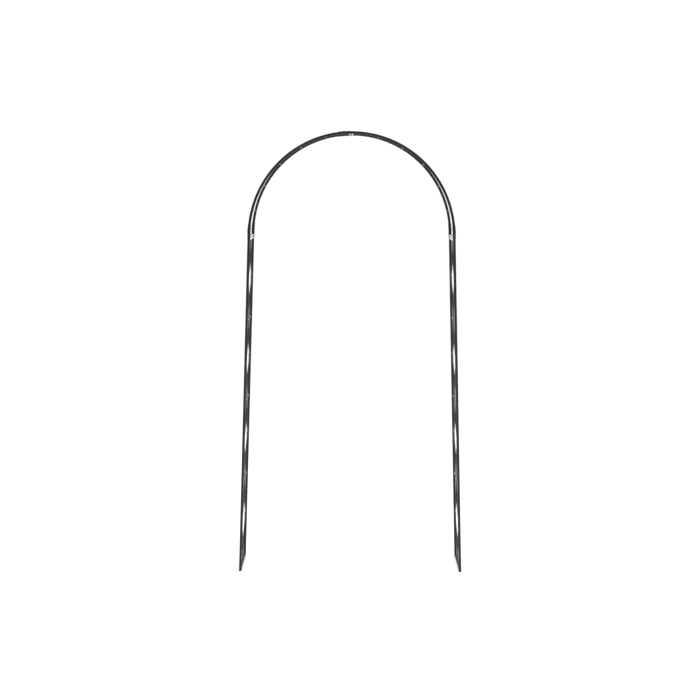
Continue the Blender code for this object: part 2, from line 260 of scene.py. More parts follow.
def newMaterial(name):
    material = bpy.data.materials.new(name)
    material.use_nodes = True
    tree = material.node_tree
    return material, tree, tree.nodes["Principled BSDF"]


def addBump(tree, shader, height, strength, distance):
    bump = tree.nodes.new("ShaderNodeBump")
    bump.inputs["Strength"].default_value = strength
    bump.inputs["Distance"].default_value = distance
    tree.links.new(height, bump.inputs["Height"])
    tree.links.new(bump.outputs["Normal"], shader.inputs["Normal"])


# finishes

coatShared = {                              # the same in every powder coat
    "ior": 1.52,
    "glossRoughness": 0.03,
    "scratches": 0.35,
    "worn": (0.055, 0.055, 0.057),
    "dustColour": (0.22, 0.215, 0.205),
    "dustRoughness": 0.45,
    "bumpDepth": 0.0004,
}
coatLooks = {
    "hoopTubeCoat": {"dark": (0.0060, 0.0060, 0.0062), "light": (0.0115, 0.0115, 0.0118), "shine": 0.28,
                     "rough": (0.15, 0.26), "pebble": 900.0, "bump": 0.11, "dust": 0.10},
    "jointRungCoat": {"dark": (0.0062, 0.0062, 0.0064), "light": (0.0110, 0.0110, 0.0112), "shine": 0.90,
                      "rough": (0.025, 0.05), "pebble": 900.0, "bump": 0.008, "dust": 0.0,
                      "gloss": 0.6},
    "footRungCoat": {"dark": (0.0062, 0.0062, 0.0064), "light": (0.0110, 0.0110, 0.0112), "shine": 0.12,
                     "rough": (0.38, 0.48), "pebble": 900.0, "bump": 0.09, "dust": 0.10},
    "thinRungCoat": {"dark": (0.0064, 0.0064, 0.0066), "light": (0.0112, 0.0112, 0.0114), "shine": 0.28,
                     "rough": (0.16, 0.26), "pebble": 1200.0, "bump": 0.05, "dust": 0.08},
    "latticeRodCoat": {"dark": (0.0064, 0.0064, 0.0066), "light": (0.0112, 0.0112, 0.0114), "shine": 0.28,
                       "rough": (0.18, 0.28), "pebble": 1200.0, "bump": 0.05, "dust": 0.08},
    "weldCoat": {"dark": (0.0070, 0.0070, 0.0071), "light": (0.0140, 0.0139, 0.0138), "shine": 0.28,
                 "rough": (0.24, 0.38), "pebble": 1500.0, "bump": 0.18, "dust": 0.12},
}


def makeCoat(name, look):
    material, tree, shader = newMaterial(name)
    shader.inputs["Metallic"].default_value = 0.0
    shader.inputs["IOR"].default_value = coatShared["ior"]
    shader.inputs["Specular IOR Level"].default_value = look["shine"]
    shader.inputs["Coat Weight"].default_value = look.get("gloss", 0.0)
    shader.inputs["Coat Roughness"].default_value = coatShared["glossRoughness"]
    skin = groupNode(tree, coatSkin, Pebble_Scale=look["pebble"], Rough_Low=look["rough"][0],
                     Rough_High=look["rough"][1])
    dust = groupNode(tree, settledDust, Amount=look["dust"])
    scratches = groupNode(tree, fineScratches, Density=coatShared["scratches"])
    coords = tree.nodes.new("ShaderNodeTexCoord").outputs["Object"]
    tone = rangeNode(tree, noiseNode(tree, coords, 30.0, 3.0, 0.6), 0.3, 0.7, 0.0, 1.0)
    base = colourMix(tree, tone, look["dark"], look["light"])
    worn = colourMix(tree, scratches.outputs["Mask"], base, coatShared["worn"])
    dusty = colourMix(tree, dust.outputs["Mask"], worn, coatShared["dustColour"])
    tree.links.new(dusty, shader.inputs["Base Color"])
    dulled = mathNode(tree, "ADD", skin.outputs["Roughness"],
                      mathNode(tree, "MULTIPLY", dust.outputs["Mask"], coatShared["dustRoughness"]))
    tree.links.new(dulled, shader.inputs["Roughness"])
    addBump(tree, shader, skin.outputs["Height"], look["bump"], coatShared["bumpDepth"])
    return material


finishes = {name: makeCoat(name, look) for name, look in coatLooks.items()}


def makePlugPlastic():
    material, tree, shader = newMaterial("plugPlastic")
    shader.inputs["IOR"].default_value = 1.49
    coords = tree.nodes.new("ShaderNodeTexCoord").outputs["Object"]
    grain = noiseNode(tree, coords, 2200.0, 2.0, 0.6)
    mottle = noiseNode(tree, coords, 120.0, 3.0, 0.6)
    dust = groupNode(tree, settledDust, Amount=0.5, Splash_Height=0.05)
    base = colourMix(tree, rangeNode(tree, mottle, 0.3, 0.7, 0.0, 1.0), (0.016, 0.016, 0.017),
                     (0.028, 0.028, 0.029))
    tree.links.new(colourMix(tree, dust.outputs["Mask"], base, (0.24, 0.21, 0.18)),
                   shader.inputs["Base Color"])
    tree.links.new(rangeNode(tree, grain, 0.3, 0.7, 0.48, 0.66), shader.inputs["Roughness"])
    addBump(tree, shader, grain, 0.25, 0.0002)
    return material


def makeScrewZinc():
    material, tree, shader = newMaterial("screwZinc")
    shader.inputs["Metallic"].default_value = 1.0
    coords = tree.nodes.new("ShaderNodeTexCoord").outputs["Object"]
    spangle = noiseNode(tree, coords, 700.0, 3.0, 0.6)
    stain = noiseNode(tree, coords, 150.0, 4.0, 0.65)
    base = colourMix(tree, rangeNode(tree, spangle, 0.35, 0.65, 0.0, 1.0), (0.42, 0.43, 0.45),
                     (0.62, 0.62, 0.62))
    tree.links.new(colourMix(tree, rangeNode(tree, stain, 0.55, 0.8, 0.0, 0.6), base,
                             (0.30, 0.27, 0.22)), shader.inputs["Base Color"])
    tree.links.new(rangeNode(tree, spangle, 0.3, 0.7, 0.22, 0.42), shader.inputs["Roughness"])
    addBump(tree, shader, stain, 0.2, 0.0002)
    return material


finishes["plugPlastic"] = makePlugPlastic()
finishes["screwZinc"] = makeScrewZinc()
print("finishes made:", len(finishes))


# geometry node trees

def newTree(name, inputs):
    tree = bpy.data.node_groups.new(name, "GeometryNodeTree")
    tree.interface.new_socket("Geometry", in_out="INPUT", socket_type="NodeSocketGeometry")
    for socketName, kind, value in inputs:
        socket = tree.interface.new_socket(socketName, in_out="INPUT", socket_type=kind)
        if value is not None:
            socket.default_value = value
    tree.interface.new_socket("Geometry", in_out="OUTPUT", socket_type="NodeSocketGeometry")
    return tree, tree.nodes.new("NodeGroupInput"), tree.nodes.new("NodeGroupOutput")


def addNode(tree, kind, links=None, values=None, **settings):
    node = tree.nodes.new(kind)
    for attribute, value in settings.items():
        setattr(node, attribute, value)
    for socket, value in (values or {}).items():
        node.inputs[socket].default_value = value
    for socket, source in (links or {}).items():
        tree.links.new(source, node.inputs[socket])
    return node


def endTree(tree, given, out, shape):       # every tree ends the same way
    realized = addNode(tree, "GeometryNodeRealizeInstances", {"Geometry": shape})
    smooth = addNode(tree, "GeometryNodeSetShadeSmooth", {"Geometry": realized.outputs[0]})
    painted = addNode(tree, "GeometryNodeSetMaterial",
                      {"Geometry": smooth.outputs[0], "Material": given.outputs["Finish"]})
    tree.links.new(painted.outputs[0], out.inputs[0])


def turnAttribute(tree):                    # the turn that a carrier's point holds
    turn = addNode(tree, "GeometryNodeInputNamedAttribute", values={"Name": "turn"},
                   data_type="FLOAT_VECTOR")
    return addNode(tree, "FunctionNodeEulerToRotation", {0: turn.outputs["Attribute"]}).outputs[0]


def makePipeTree():                         # a round section swept along a line of points
    tree, given, out = newTree("pipeAlongLine", [
        ("Sides", "NodeSocketInt", 32),
        ("Capped", "NodeSocketBool", True),
        ("Finish", "NodeSocketMaterial", None)])
    line = addNode(tree, "GeometryNodeMeshToCurve", {"Mesh": given.outputs["Geometry"]})
    radius = addNode(tree, "GeometryNodeInputNamedAttribute", values={"Name": "pipeRadius"},
                     data_type="FLOAT")
    section = addNode(tree, "GeometryNodeCurvePrimitiveCircle", {"Resolution": given.outputs["Sides"]},
                      {"Radius": 1.0})
    pipe = addNode(tree, "GeometryNodeCurveToMesh",
                   {"Curve": line.outputs[0], "Profile Curve": section.outputs[0],
                    "Scale": radius.outputs["Attribute"], "Fill Caps": given.outputs["Capped"]})
    endTree(tree, given, out, pipe.outputs[0])
    return tree


def makeWeldTree():                         # rippled beads where round bars meet a round tube
    tree, given, out = newTree("weldBeads", [
        ("Bar Radius", "NodeSocketFloat", 0.0065),
        ("Tube Radius", "NodeSocketFloat", 0.0065),
        ("Bead Radius", "NodeSocketFloat", 0.0014),
        ("Ripples", "NodeSocketFloat", 14.0),
        ("Unevenness", "NodeSocketFloat", 0.18),
        ("Finish", "NodeSocketMaterial", None)])
    ring = addNode(tree, "GeometryNodeCurvePrimitiveCircle", {"Radius": given.outputs["Bar Radius"]},
                   {"Resolution": 56})
    place = addNode(tree, "GeometryNodeInputPosition")
    parts = addNode(tree, "ShaderNodeSeparateXYZ", {0: place.outputs[0]})
    across = mathNode(tree, "MULTIPLY", parts.outputs["X"], parts.outputs["X"])
    whole = mathNode(tree, "MULTIPLY", given.outputs["Tube Radius"], given.outputs["Tube Radius"])
    height = mathNode(tree, "SQRT", mathNode(tree, "SUBTRACT", whole, across))
    lift = addNode(tree, "ShaderNodeCombineXYZ", {"Z": height})
    saddle = addNode(tree, "GeometryNodeSetPosition",
                     {"Geometry": ring.outputs[0], "Offset": lift.outputs[0]})
    spread = addNode(tree, "GeometryNodeInstanceOnPoints", {
        "Points": given.outputs["Geometry"], "Instance": saddle.outputs[0],
        "Rotation": turnAttribute(tree)})
    loose = addNode(tree, "GeometryNodeRealizeInstances", {"Geometry": spread.outputs[0]})
    turns = addNode(tree, "GeometryNodeSplineParameter")
    beats = mathNode(tree, "MULTIPLY", turns.outputs["Factor"], given.outputs["Ripples"])
    wave = mathNode(tree, "SINE", mathNode(tree, "MULTIPLY", beats, 2 * math.pi))
    where = addNode(tree, "GeometryNodeInputPosition")
    lumps = addNode(tree, "ShaderNodeTexNoise", {"Vector": where.outputs[0]}, {"Scale": 260.0})
    lumpy = mathNode(tree, "SUBTRACT", lumps.outputs["Fac"], 0.5)
    uneven = mathNode(tree, "ADD", wave, mathNode(tree, "MULTIPLY", lumpy, 3.0))
    factor = mathNode(tree, "ADD", mathNode(tree, "MULTIPLY", uneven, given.outputs["Unevenness"]), 1.0)
    beadSize = mathNode(tree, "MULTIPLY", factor, given.outputs["Bead Radius"])
    section = addNode(tree, "GeometryNodeCurvePrimitiveCircle", values={"Resolution": 10, "Radius": 1.0})
    bead = addNode(tree, "GeometryNodeCurveToMesh",
                   {"Curve": loose.outputs[0], "Profile Curve": section.outputs[0], "Scale": beadSize})
    endTree(tree, given, out, bead.outputs[0])
    return tree


def makeTackTree():                         # small round tacks that hold the lattice rods
    tree, given, out = newTree("tackWelds", [
        ("Length", "NodeSocketFloat", 0.0038),
        ("Breadth", "NodeSocketFloat", 0.0022),
        ("Finish", "NodeSocketMaterial", None)])
    ball = addNode(tree, "GeometryNodeMeshIcoSphere", values={"Radius": 1.0, "Subdivisions": 4})
    place = addNode(tree, "GeometryNodeInputPosition")
    lumps = addNode(tree, "ShaderNodeTexNoise", {"Vector": place.outputs[0]}, {"Scale": 2.2})
    push = addNode(tree, "ShaderNodeMath", {0: lumps.outputs["Fac"]}, {1: 0.5, 2: 0.75},
                   operation="MULTIPLY_ADD")
    lumpy = addNode(tree, "ShaderNodeVectorMath", {0: place.outputs[0]}, operation="SCALE")
    tree.links.new(push.outputs[0], lumpy.inputs["Scale"])
    shaped = addNode(tree, "GeometryNodeSetPosition",
                     {"Geometry": ball.outputs[0], "Position": lumpy.outputs[0]})
    size = addNode(tree, "ShaderNodeCombineXYZ", {
        "X": given.outputs["Breadth"], "Y": given.outputs["Breadth"], "Z": given.outputs["Length"]})
    spread = addNode(tree, "GeometryNodeInstanceOnPoints", {
        "Points": given.outputs["Geometry"], "Instance": shaped.outputs[0],
        "Rotation": turnAttribute(tree), "Scale": size.outputs[0]})
    endTree(tree, given, out, spread.outputs[0])
    return tree


def makeSetTree():                          # copies of one finished piece, each at its own point and turn
    tree, given, out = newTree("setOfPieces", [
        ("Piece", "NodeSocketObject", None),
        ("Finish", "NodeSocketMaterial", None)])
    piece = addNode(tree, "GeometryNodeObjectInfo", {"Object": given.outputs["Piece"]})
    spread = addNode(tree, "GeometryNodeInstanceOnPoints", {
        "Points": given.outputs["Geometry"], "Instance": piece.outputs["Geometry"],
        "Rotation": turnAttribute(tree)})
    realized = addNode(tree, "GeometryNodeRealizeInstances", {"Geometry": spread.outputs[0]})
    painted = addNode(tree, "GeometryNodeSetMaterial",
                      {"Geometry": realized.outputs[0], "Material": given.outputs["Finish"]})
    tree.links.new(painted.outputs[0], out.inputs[0])
    return tree


pipeTree = makePipeTree()
weldTree = makeWeldTree()
tackTree = makeTackTree()
setTree = makeSetTree()
print("node trees made")


# from carriers and node trees to plain meshes

def linkNew(name, mesh):
    item = bpy.data.objects.new(name, mesh)
    bpy.context.scene.collection.objects.link(item)
    return item


def addNodes(item, tree, settings):
    modifier = item.modifiers.new("nodes", "NODES")
    modifier.node_group = tree
    for socket in tree.interface.items_tree:
        if socket.in_out == "INPUT" and socket.name in settings:
            modifier[socket.identifier] = settings[socket.name]


def asPlainMesh(item, name, sharpAngle=25.0):       # what the modifiers make becomes the piece's own mesh
    bpy.context.view_layer.update()
    shown = item.evaluated_get(bpy.context.evaluated_depsgraph_get())
    mesh = bpy.data.meshes.new_from_object(shown)
    bpy.data.objects.remove(item, do_unlink=True)
    mesh.name = name
    mesh.set_sharp_from_angle(angle=math.radians(sharpAngle))
    return linkNew(name, mesh)


def lineCarrier(name, points, radii):
    mesh = bpy.data.meshes.new(name)
    mesh.from_pydata(points, [(i, i + 1) for i in range(len(points) - 1)], [])
    attribute = mesh.attributes.new("pipeRadius", "FLOAT", "POINT")
    attribute.data.foreach_set("value", radii)
    return linkNew(name, mesh)


def pointCarrier(name, places):             # one point for each matrix, with its turn
    mesh = bpy.data.meshes.new(name)
    mesh.from_pydata([place.translation for place in places], [], [])
    attribute = mesh.attributes.new("turn", "FLOAT_VECTOR", "POINT")
    attribute.data.foreach_set("vector", [angle for place in places for angle in place.to_euler()])
    return linkNew(name, mesh)


def keepPiece(item, nodes):
    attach(item, "root")
    if nodes:
        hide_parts(*nodes)
    return item


# hoop tubes: hollow, with widened ends that go over the next frame's plain ends

tubeLook = {
    "sides": 40,
    "bend": math.radians(1.5),      # between the rings on the curve
    "lip": 0.00022,                 # rounding on the rims
    "taperRings": 8,
    "drill": 0.0023,                # screw hole
    "foot": 0.0030,                 # height of the lower rim, just above the plug's flange
    "ringGap": 0.0002,              # rings closer than this are one ring
}


def socketShare(along, mouths):     # 1 in a socket, 0 on the plain tube, smooth between
    share = 0.0
    for mouth in mouths:
        inside = (abs(along - mouth) - socketFit["length"]) / socketFit["taper"]
        past = min(max(inside, 0.0), 1.0)
        share = max(share, 1.0 - past * past * (3.0 - 2.0 * past))
    return share


def tubeMarks(start, end, mouths):
    marks = {start, end}
    if start < straightRun < end:
        marks.add(straightRun)
    for mouth in mouths:
        inward = 1 if mouth < (start + end) / 2 else -1
        marks.add(mouth + inward * socketFit["length"])
        for i in range(1, tubeLook["taperRings"] + 1):
            past = socketFit["length"] + socketFit["taper"] * i / tubeLook["taperRings"]
            marks.add(mouth + inward * past)
    curveStart = max(start, straightRun)
    steps = math.ceil((end - curveStart) / (arcRadius * tubeLook["bend"]))
    for i in range(steps):
        marks.add(curveStart + (end - curveStart) * i / steps)
    kept = [start]
    for mark in sorted(marks):
        if mark - kept[-1] > tubeLook["ringGap"]:
            kept.append(mark)
    kept[-1] = end
    return kept


def drillCutter(side, along, depth):
    mesh = bpy.data.meshes.new("drill")
    work = bmesh.new()
    turn = Matrix.Translation((stock["socket"], 0.0, 0.0)) @ Matrix.Rotation(math.pi / 2, 4, "Y")
    bmesh.ops.create_cone(work, cap_ends=True, segments=32, radius1=tubeLook["drill"],
                          radius2=tubeLook["drill"], depth=stock["socket"],
                          matrix=hoopAxes(side, along, depth) @ turn)
    work.to_mesh(mesh)
    work.free()
    return linkNew("drill", mesh)


def makeTube(name, node, side, depth, start, end, mouths, drilled):
    marks = tubeMarks(start, end, mouths)
    widening = stock["socket"] - stock["tube"]
    radii = [stock["tube"] + widening * socketShare(mark, mouths) for mark in marks]
    tube = lineCarrier(name + "Line", [hoopPoint(side, mark, depth) for mark in marks], radii)
    addNodes(tube, pipeTree, {"Sides": tubeLook["sides"], "Capped": False,
                              "Finish": finishes["hoopTubeCoat"]})
    wall = tube.modifiers.new("wall", "SOLIDIFY")
    wall.thickness = stock["wall"]
    wall.offset = -1.0
    wall.use_even_offset = True
    rim = tube.modifiers.new("rim", "BEVEL")
    rim.width = tubeLook["lip"]
    rim.segments = 2
    rim.limit_method = "ANGLE"
    rim.angle_limit = math.radians(60)
    cutters = [drillCutter(side, mark, depth) for mark in drilled]
    for cutter in cutters:
        hole = tube.modifiers.new("screwHole", "BOOLEAN")
        hole.operation = "DIFFERENCE"
        hole.solver = "EXACT"
        hole.object = cutter
    piece = asPlainMesh(tube, name)
    for cutter in cutters:
        bpy.data.objects.remove(cutter, do_unlink=True)
    keepPiece(piece, [node])


def makeTubes():
    legScrew = legJoint + socketFit["screw"]
    footStart = tubeLook["foot"] / math.cos(lean)
    for sideName, side in sideSigns.items():
        socketAtCrown = sideName == "left"
        joint = crownJoint[sideName]
        arcEnd = joint if socketAtCrown else joint + socketFit["spigot"]
        arcMouths = [legJoint, joint] if socketAtCrown else [legJoint]
        crownScrew = joint - socketFit["screw"] if socketAtCrown else joint + socketFit["screw"]
        for hoopName, sign in hoopSigns.items():
            title = hoopName.capitalize()
            makeTube(f"{sideName}Leg{title}Tube", f"{sideName}_leg_{hoopName}_tube", side, sign * halfDepth,
                     footStart, legJoint + socketFit["spigot"], [], [legScrew])
            makeTube(f"{sideName}Arc{title}Tube", f"{sideName}_arc_{hoopName}_tube", side, sign * halfDepth,
                     legJoint, arcEnd, arcMouths, [legScrew, crownScrew])
    print("hoop tubes made")


# rungs: solid bars whose ends are hollowed to sit on the tubes

rungLook = {
    "thickSides": 40,
    "thinSides": 24,
    "bite": 0.0004,                 # how far a welded end goes into the tube's wall
    "capRings": (1.0, 0.7, 0.35),
}


def saddleBar(name, side, along, radius, tubeRadius, sides):
    axes = hoopAxes(side, along)
    work = bmesh.new()
    shells = {}
    for end in (-1, 1):
        rings = []
        for share in rungLook["capRings"]:
            ring = []
            for i in range(sides):
                angle = 2 * math.pi * i / sides
                across, up = radius * share * math.cos(angle), radius * share * math.sin(angle)
                reach = halfDepth - math.sqrt(max(0.0, (tubeRadius - rungLook["bite"]) ** 2 - across ** 2))
                ring.append(work.verts.new(axes @ Vector((across, end * reach, up))))
            rings.append(ring)
        tip = end * (halfDepth - tubeRadius + rungLook["bite"])
        middle = work.verts.new(axes @ Vector((0.0, tip, 0.0)))
        for outer, inner in zip(rings, rings[1:]):
            for i in range(sides):
                j = (i + 1) % sides
                work.faces.new((outer[i], outer[j], inner[j], inner[i]))
        for i in range(sides):
            work.faces.new((rings[-1][i], rings[-1][(i + 1) % sides], middle))
        shells[end] = rings[0]
    for i in range(sides):
        j = (i + 1) % sides
        work.faces.new((shells[-1][i], shells[-1][j], shells[1][j], shells[1][i]))
    bmesh.ops.recalc_face_normals(work, faces=work.faces)
    mesh = bpy.data.meshes.new(name)
    work.to_mesh(mesh)
    work.free()
    mesh.shade_smooth()
    mesh.set_sharp_from_angle(angle=math.radians(40))
    return linkNew(name, mesh)


def pieceName(node):                        # left_leg_foot_rung becomes leftLegFootRung
    first, *rest = node.split("_")
    return first + "".join(word.capitalize() for word in rest)


def rungTubeRadius(sideName, rung):         # the tube that a rung's end sits on
    if rung == "lower_rung" or (rung == "crown_rung" and sideName == "left"):
        return stock["socket"]
    return stock["tube"]


def eachRung():                             # node, side's name, mark, bar radius, tube radius
    for sideName in sideSigns:
        for part, rungs, marks in (("leg", legRungs, legMarks), ("arc", arcRungs, arcMarks[sideName])):
            for rung, mark in zip(rungs, marks):
                thin = rung.startswith("rung_")
                bar = stock["thinRung"] if thin else stock["endRung"]
                yield f"{sideName}_{part}_{rung}", sideName, part, mark, bar, rungTubeRadius(sideName, rung)


def makeRungs():
    for node, sideName, part, mark, bar, tube in eachRung():
        thin = bar == stock["thinRung"]
        sides = rungLook["thinSides"] if thin else rungLook["thickSides"]
        rung = saddleBar(pieceName(node), sideSigns[sideName], mark, bar, tube, sides)
        kind = "foot" if node.endswith("foot_rung") else "thin" if thin else "joint"
        rung.data.materials.append(finishes[kind + "RungCoat"])
        keepPiece(rung, [node])
    print("rungs made")


# lattice rods: a pair in each bay, together at the rungs and out at the tubes in mid-bay

rodLook = {
    "sides": 20,
    "bend": 0.007,                  # radius where the rod turns back at the tube
    "ringSteps": 26,
    "bendSteps": 8,
}
meetingDepth = halfDepth - stock["rod"] - stock["slip"] / 2
bendDepth = stock["tube"] + stock["slip"] + stock["rod"] + rodLook["bend"]


def legBars():                              # mark and radius of each rung of a leg
    return [(mark, stock["thinRung" if rung.startswith("rung_") else "endRung"])
            for rung, mark in zip(legRungs, legMarks)]


def halfRod(mark, halfBay, direction):      # from a rung to the middle of the bend at the tube
    run = meetingDepth - bendDepth
    radius = (halfBay ** 2 + run ** 2 - rodLook["bend"] ** 2) / (2 * (run + rodLook["bend"]))
    centre = meetingDepth - radius
    meeting = math.atan2(halfBay, bendDepth - centre)
    line = []
    for i in range(1, rodLook["ringSteps"] + 1):
        angle = meeting * i / rodLook["ringSteps"]
        line.append((radius * math.sin(angle), centre + radius * math.cos(angle)))
    for i in range(1, rodLook["bendSteps"] + 1):
        angle = meeting * (1 - i / rodLook["bendSteps"])
        line.append((halfBay - rodLook["bend"] * math.sin(angle),
                     bendDepth - rodLook["bend"] * math.cos(angle)))
    return [(mark + direction * along, depth) for along, depth in line]


def rodLine(lower, upper):                  # depth is counted from the tube's centre line
    halfBay = (upper[0] - lower[0]) / 2
    start = lower[0] + lower[1]
    end = upper[0] - upper[1]
    rising = [point for point in halfRod(lower[0], halfBay, 1) if point[0] > start + stock["rod"]]
    falling = [point for point in halfRod(upper[0], halfBay, -1) if point[0] < end - stock["rod"]]
    return [(start, meetingDepth)] + rising + falling[-2::-1] + [(end, meetingDepth)]


def rodPlace(side, sign, along, depth):
    return hoopAxes(side, along, sign * (halfDepth - depth))


def makeRods():
    bars = legBars()
    for sideName, side in sideSigns.items():
        for hoopName, sign in hoopSigns.items():
            for number, (lower, upper) in enumerate(zip(bars, bars[1:]), start=1):
                name = f"{sideName}Leg{hoopName.capitalize()}LatticeRod{number}"
                points = [rodPlace(side, sign, along, depth).translation
                          for along, depth in rodLine(lower, upper)]
                rod = lineCarrier(name + "Line", points, [stock["rod"]] * len(points))
                addNodes(rod, pipeTree, {"Sides": rodLook["sides"], "Capped": True,
                                         "Finish": finishes["latticeRodCoat"]})
                keepPiece(asPlainMesh(rod, name, 40.0),
                          [f"{sideName}_leg_{hoopName}_lattice_rod_{number}"])
    print("lattice rods made")


# welds: a bead round every rung's end, and tacks where the rods touch a rung or a tube

beadLook = {
    "endRung": 0.0010,
    "thinRung": 0.0008,
    "standOff": 0.0002,             # the bead's centre line lies this far off bar and tube
    "ripples": {"endRung": 17.0, "thinRung": 9.0},
    "unevenness": 0.16,
}
tackLook = {                        # breadth and length
    "end": (0.0038, 0.0021),
    "tube": (0.0018, 0.0050),
}


def weldPlace(side, sign, mark):            # local Z from the tube to the rung, local Y up the hoop
    axes = hoopAxes(side, mark, sign * halfDepth)
    outward = axes.to_3x3() @ Vector((1.0, 0.0, 0.0))
    towards = Vector((0.0, -sign, 0.0))
    turn = Matrix((outward, towards.cross(outward), towards)).transposed().to_4x4()
    return Matrix.Translation(axes.translation) @ turn


def makeBeads():
    groups = {}
    for node, sideName, part, mark, bar, tube in eachRung():
        group = groups.setdefault((sideName, part, bar, tube), [])
        group += [weldPlace(sideSigns[sideName], sign, mark) for sign in hoopSigns.values()]
    for number, ((sideName, part, bar, tube), places) in enumerate(sorted(groups.items()), start=1):
        kind = "thinRung" if bar == stock["thinRung"] else "endRung"
        name = f"{sideName}{part.capitalize()}{kind[0].upper()}{kind[1:]}Welds{number}"
        carrier = pointCarrier(name + "Points", places)
        addNodes(carrier, weldTree, {
            "Bar Radius": bar + beadLook["standOff"], "Tube Radius": tube + beadLook["standOff"],
            "Bead Radius": beadLook[kind], "Ripples": beadLook["ripples"][kind],
            "Unevenness": beadLook["unevenness"], "Finish": finishes["weldCoat"]})
        keepPiece(asPlainMesh(carrier, name, 60.0), [])
    print("weld beads made")


def makeTacks():
    bars = legBars()
    for sideName, side in sideSigns.items():
        places = {"end": [], "tube": []}
        for sign in hoopSigns.values():
            for lower, upper in zip(bars, bars[1:]):
                places["end"].append(rodPlace(side, sign, lower[0] + lower[1], meetingDepth))
                places["end"].append(rodPlace(side, sign, upper[0] - upper[1], meetingDepth))
                places["tube"].append(rodPlace(side, sign, (lower[0] + upper[0]) / 2, stock["tube"]))
        for kind, spots in places.items():
            name = f"{sideName}Leg{kind.capitalize()}Tacks"
            carrier = pointCarrier(name + "Points", spots)
            breadth, length = tackLook[kind]
            addNodes(carrier, tackTree, {"Breadth": breadth, "Length": length,
                                         "Finish": finishes["weldCoat"]})
            keepPiece(asPlainMesh(carrier, name, 60.0), [])
    print("tack welds made")


# socket screws with a hexagon recess

screwLook = {
    "headRadius": 0.0040,
    "headHeight": 0.0022,
    "rim": 0.0008,                  # straight part of the head's side
    "edge": 0.00025,
    "shank": 0.0020,
    "thread": 0.00018,              # depth of the thread's grooves
    "pitch": 0.0007,
    "threadStart": 0.0002,          # plain shank under the head
    "turnStep": 37,                 # degrees from one screw's recess to the next
    "domeSteps": 10,
    "tip": 0.0030,                  # how far the point reaches past the spigot's wall
    "driveRadius": 0.0014,
    "driveDepth": 0.0012,
    "sides": 48,
}


def screwProfile():                 # (radius, height) pairs, the head's top at zero
    look = screwLook
    seat = -look["headHeight"]
    shankEnd = seat - (stock["socket"] + stock["slip"] - stock["tube"] + stock["wall"] + look["tip"])
    dome = look["headHeight"] - look["rim"] - look["edge"]
    profile = [(0.0, 0.0)]
    for i in range(1, look["domeSteps"] + 1):
        angle = math.pi / 2 * i / look["domeSteps"]
        profile.append((look["headRadius"] * math.sin(angle), -dome * (1 - math.cos(angle))))
    profile += [(look["headRadius"], seat + look["edge"]), (look["headRadius"] - look["edge"], seat),
                (look["shank"], seat)]
    turns = int((seat - shankEnd - look["shank"]) / look["pitch"])
    for i in range(turns):
        top = seat - look["threadStart"] - i * look["pitch"]
        profile += [(look["shank"], top - look["pitch"] * 0.25),
                    (look["shank"] - look["thread"], top - look["pitch"] * 0.5),
                    (look["shank"], top - look["pitch"] * 0.75)]
    profile += [(look["shank"], shankEnd + look["shank"]), (look["shank"] * 0.5, shankEnd),
                (0.0, shankEnd)]
    return profile


def turnedMesh(name, profile, sides, sharpAngle=30.0):
    work = bmesh.new()
    rings = []
    for radius, height in profile:
        if radius == 0.0:
            rings.append([work.verts.new((0.0, 0.0, height))])
            continue
        rings.append([work.verts.new((radius * math.cos(2 * math.pi * i / sides),
                                      radius * math.sin(2 * math.pi * i / sides), height))
                      for i in range(sides)])
    for upper, lower in zip(rings, rings[1:]):
        for i in range(sides):
            j = (i + 1) % sides
            corners = [upper[i % len(upper)], upper[j % len(upper)],
                       lower[j % len(lower)], lower[i % len(lower)]]
            work.faces.new(list(dict.fromkeys(corners)))
    bmesh.ops.recalc_face_normals(work, faces=work.faces)
    mesh = bpy.data.meshes.new(name)
    work.to_mesh(mesh)
    work.free()
    mesh.shade_smooth()
    mesh.set_sharp_from_angle(angle=math.radians(sharpAngle))
    return mesh


def makeScrews():
    master = linkNew("screwMaster", turnedMesh("screwMaster", screwProfile(), screwLook["sides"]))
    recess = bpy.data.meshes.new("recess")
    work = bmesh.new()
    bmesh.ops.create_cone(work, cap_ends=True, segments=6, radius1=screwLook["driveRadius"] * 0.96,
                          radius2=screwLook["driveRadius"], depth=2 * screwLook["driveDepth"])
    work.to_mesh(recess)
    work.free()
    cutter = linkNew("recess", recess)
    hole = master.modifiers.new("drive", "BOOLEAN")
    hole.operation = "DIFFERENCE"
    hole.solver = "EXACT"
    hole.object = cutter
    screw = asPlainMesh(master, "screwCopy", 30.0)
    bpy.data.objects.remove(cutter, do_unlink=True)
    headTop = Matrix.Translation((stock["socket"] + stock["slip"] + screwLook["headHeight"], 0.0, 0.0))
    turn = headTop @ Matrix.Rotation(math.pi / 2, 4, "Y")
    places, nodes = [], []
    for hoopName, sign in hoopSigns.items():
        depth = sign * halfDepth
        for sideName, side in sideSigns.items():
            places.append(hoopAxes(side, legJoint + socketFit["screw"], depth) @ turn)
            nodes.append(f"{sideName}_{hoopName}_socket_screw")
        places.append(hoopAxes(sideSigns["left"], crownJoint["left"] - socketFit["screw"], depth) @ turn)
        nodes.append(f"crown_{hoopName}_socket_screw")
    for number, place in enumerate(places):     # each screw stops at its own turn
        places[number] = place @ Matrix.Rotation(math.radians(screwLook["turnStep"] * number), 4, "Z")
    carrier = pointCarrier("screwPoints", places)
    addNodes(carrier, setTree, {"Piece": screw, "Finish": finishes["screwZinc"]})
    piece = asPlainMesh(carrier, "socketScrews", 30.0)
    bpy.data.objects.remove(screw, do_unlink=True)
    keepPiece(piece, nodes)
    print("socket screws made")


# foot plugs: a flange under the tube and a ribbed stem inside it

